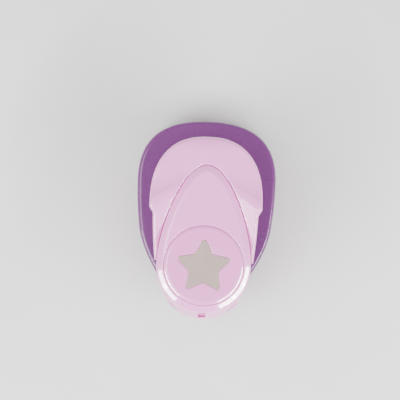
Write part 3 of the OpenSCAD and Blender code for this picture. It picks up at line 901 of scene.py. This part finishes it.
solid_piece("moulded_base", base_solid, WIDE, ["base_shell"], "base", PURPLE)
solid_piece("bottom_cover", cover_solid, WIDE, ["base_cover"], "base", COVER)
solid_piece("moulded_hood", hood_solid, FINE, ["front_hood"], "lever", PINK)
solid_piece("moulded_lever", lever_solid, FINE, ["thumb_lever"], "lever", PINK)
solid_piece("round_badge", badge_solid, TINY * 1.6, ["badge_disc"], "lever", BADGE)
solid_piece("silver_star", inlay_solid, TINY, ["star_inlay"], "lever", SILVER)
solid_piece("cast_guide", guide_solid, FINE, ["guide_block"], "base", ZINC)
solid_piece("ground_die", die_solid, FINE, ["die_plate"], "base", TOOL)
solid_piece("slot_spacer", spacer_solid, FINE * 0.8, ["throat_spacer"], "base", TOOL)
solid_piece("star_ram", ram_solid, FINE, ["punch_ram"], "ram", TOOL)
solid_piece("turned_cap", cap_solid, FINE, ["ram_cap"], "ram", TOOL)
solid_piece("seat_washer", washer_solid, TINY * 1.5, ["spring_washer"], "base", BRIGHT)
solid_piece("turned_pin", pin_solid, TINY * 1.5, ["hinge_pin"], "base", BRIGHT)
solid_piece("hard_pad", pad_solid, FINE * 0.8, ["press_pad"], "lever", TOOL)
solid_piece("steel_plate", plate_solid, FINE, ["stiffener_plate"], "lever", TOOL)

screw_set("pan_head_screws", at(pan_head, 0, 0, BASE_TOP), SCREWS_BED, (3.0, 12.0), TINY * 1.2, 2.6,
          "bed_screws", "base")
screw_set("cover_flat_screws", flat_head, SCREWS_COVER, (-0.2, 6.6), TINY * 1.2, 2.4,
          "cover_screws", "base")
screw_set("plate_screws", plate_screw, SCREWS_PLATE, (29.4, 33.4), TINY * 1.2, 2.1,
          "stiffener_screws", "lever")

coil = mesh_piece("coil_spring", [spring_mesh()], "base", SPRING, ["return_spring"])
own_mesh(coil)

for node, material in (("die_screws", BRIGHT), ("dowel_pins", BRIGHT), ("ram_screw", BRIGHT)):
    mesh = frame["nodes"][node].data
    mesh.materials.clear()
    mesh.materials.append(material)


# ---------------------------------------------------------------- floor, light and camera

def floor():
    """Pale matt tabletop."""
    n = Nodes("pale_floor")
    tone = n.ramp(n.noise(0.02, 4.0), 0.3, 0.7)
    n.set(Base_Color=n.mix(tone, (0.74, 0.73, 0.72), (0.78, 0.77, 0.76)), Roughness=0.7,
          Normal=n.bump(n.noise(0.8, 4.0), 0.02))
    mesh = bpy.data.meshes.new("floor")
    s, z = 0.6, 0.00003
    mesh.from_pydata([(-s, -s, z), (s, -s, z), (s, s, z), (-s, s, z)], [], [(0, 1, 2, 3)])
    mesh.materials.append(n.material)
    plane = bpy.data.objects.new("floor", mesh)
    bpy.context.scene.collection.objects.link(plane)


def softbox(name, azimuth, elevation, size, power, distance=0.5):
    """Soft light that faces the badge; its size is given across and up."""
    light = bpy.data.lights.new(name, "AREA")
    light.shape = "RECTANGLE"
    light.size, light.size_y = size
    light.energy = power
    a, e = math.radians(azimuth), math.radians(elevation)
    towards = Vector((math.cos(e) * math.cos(a), math.cos(e) * math.sin(a), math.sin(e)))
    lamp = bpy.data.objects.new(name, light)
    lamp.location = Vector((0, AXIS_Y, HOOD_TOP)) * MM + towards * distance
    lamp.rotation_euler = towards.to_track_quat("Z", "Y").to_euler()
    bpy.context.scene.collection.objects.link(lamp)


def world(colour, strength):
    scene = bpy.context.scene
    scene.world = bpy.data.worlds.new("soft_room")
    scene.world.use_nodes = True
    back = scene.world.node_tree.nodes["Background"]
    back.inputs[0].default_value = (*colour, 1)
    back.inputs[1].default_value = strength


def camera():
    """Straight above the object, a little to its left and behind, turned slightly."""
    place = Vector((-0.0019, 0.0063, 0.6966))
    turn = math.radians(2.25)
    data = bpy.data.cameras.new("camera")
    data.lens, data.sensor_width = 193.6, 36.0
    eye = bpy.data.objects.new("camera", data)
    eye.matrix_world = Matrix.Translation(place) @ Matrix.Rotation(turn, 4, "Z")
    bpy.context.scene.collection.objects.link(eye)
    bpy.context.scene.camera = eye


floor()
# Two rows of narrow strips stand where the hood's bevel mirrors them towards the camera
for number, (azimuth, elevation) in enumerate([(-55.4, 33.4), (-35.0, 33.9), (-14.6, 34.3)]):
    softbox(f"right_strip_{number}", azimuth, elevation, size=(0.18, 0.04), power=1.45)
for number, (azimuth, elevation) in enumerate([(203.0, 34.4), (222.0, 33.9)]):
    softbox(f"left_strip_{number}", azimuth, elevation, size=(0.18, 0.05), power=1.25)
softbox("left_window", azimuth=200, elevation=58, size=(0.5, 0.25), power=2.0)
world((1.0, 0.98, 0.99), 0.95)
camera()
